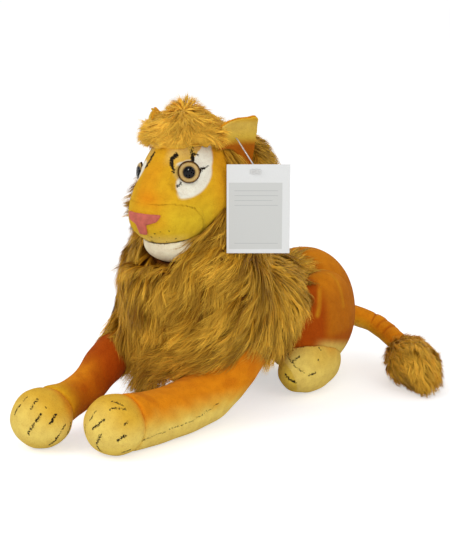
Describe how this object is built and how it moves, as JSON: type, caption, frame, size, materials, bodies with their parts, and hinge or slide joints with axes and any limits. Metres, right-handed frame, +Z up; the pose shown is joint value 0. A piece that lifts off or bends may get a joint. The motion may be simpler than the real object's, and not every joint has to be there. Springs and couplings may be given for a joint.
{
  "type": "plush lion",
  "caption": "Plush lion lying down with its forelegs stretched out, with safety eyes, a long-haired mane, ears that fold, a tail with a tuft, and a card tag on a nylon pin.",
  "frame": {"origin": "Middle of the flat under the rump, on the floor.", "axes": "+Z up, -Y the way that the lion faces, +X the lion's left side."},
  "size_m": [0.181, 0.3526, 0.2357],
  "materials": {
    "plush": "short-pile plush, orange, airbrushed",
    "pale_plush": "short-pile plush, pale yellow",
    "white_plush": "short-pile plush, off-white",
    "long_hair": "long-haired plush, golden brown with dark tips",
    "stuffing": "polyester fibre filling",
    "nose_cloth": "flat-pile cloth, terracotta",
    "eye_plastic": "clear dome over a tan iris and a black pupil",
    "washer_plastic": "natural white",
    "nylon": "moulded nylon, translucent white",
    "card": "printed card, bare"
  },
  "bodies": {
    "lion": {"body_skin": "plush", "body_stuffing": "stuffing", "face_skin": "plush", "muzzle_skin": "pale_plush", "chin_skin": "white_plush", "head_stuffing": "stuffing", "nose_patch": "nose_cloth", "left_eye": "eye_plastic", "left_eye_washer": "washer_plastic", "right_eye": "eye_plastic", "right_eye_washer": "washer_plastic", "left_forepaw_skin": "pale_plush", "left_foreleg_skin": "plush", "left_foreleg_stuffing": "stuffing", "right_forepaw_skin": "pale_plush", "right_foreleg_skin": "plush", "right_foreleg_stuffing": "stuffing", "left_thigh_skin": "plush", "left_foot_skin": "pale_plush", "left_hind_leg_stuffing": "stuffing", "right_thigh_skin": "plush", "right_foot_skin": "pale_plush", "right_hind_leg_stuffing": "stuffing", "forelock": "long_hair", "mane_bib": "long_hair", "mane_left_side": "long_hair", "mane_right_side": "long_hair", "mane_cape": "long_hair"},
    "tail": {"tail_skin": "plush", "tail_stuffing": "stuffing", "tail_tuft": "long_hair"},
    "left_ear": {"left_ear_back": "plush", "left_ear_lining": "pale_plush", "tag_pin_bar": "nylon"},
    "right_ear": {"right_ear_back": "plush", "right_ear_lining": "pale_plush"},
    "tag": {"tag_pin_thread": "nylon", "hang_tag": "card"}
  },
  "joints": [
    {"name": "tail_swing", "type": "hinge", "parent": "lion", "child": "tail", "pos_m": [0.015, 0.043, 0.044], "axis": [0, 0, 1], "range_deg": [-12, 55]},
    {"name": "left_ear_fold", "type": "hinge", "parent": "lion", "child": "left_ear", "pos_m": [0.0268, -0.14571, 0.18768], "axis": [0.4226, 0.9063, 0], "range_deg": [-20, 0], "stiffness_Nm_per_rad": 0.02},
    {"name": "right_ear_fold", "type": "hinge", "parent": "lion", "child": "right_ear", "pos_m": [-0.0268, -0.14571, 0.18768], "axis": [-0.4226, 0.9063, 0], "range_deg": [-20, 20], "stiffness_Nm_per_rad": 0.02},
    {"name": "tag_swing", "type": "hinge", "parent": "left_ear", "child": "tag", "pos_m": [0.03698, -0.13501, 0.21045], "axis": [-0.7771, -0.6293, 0], "range_deg": [0, 60]}
  ]
}
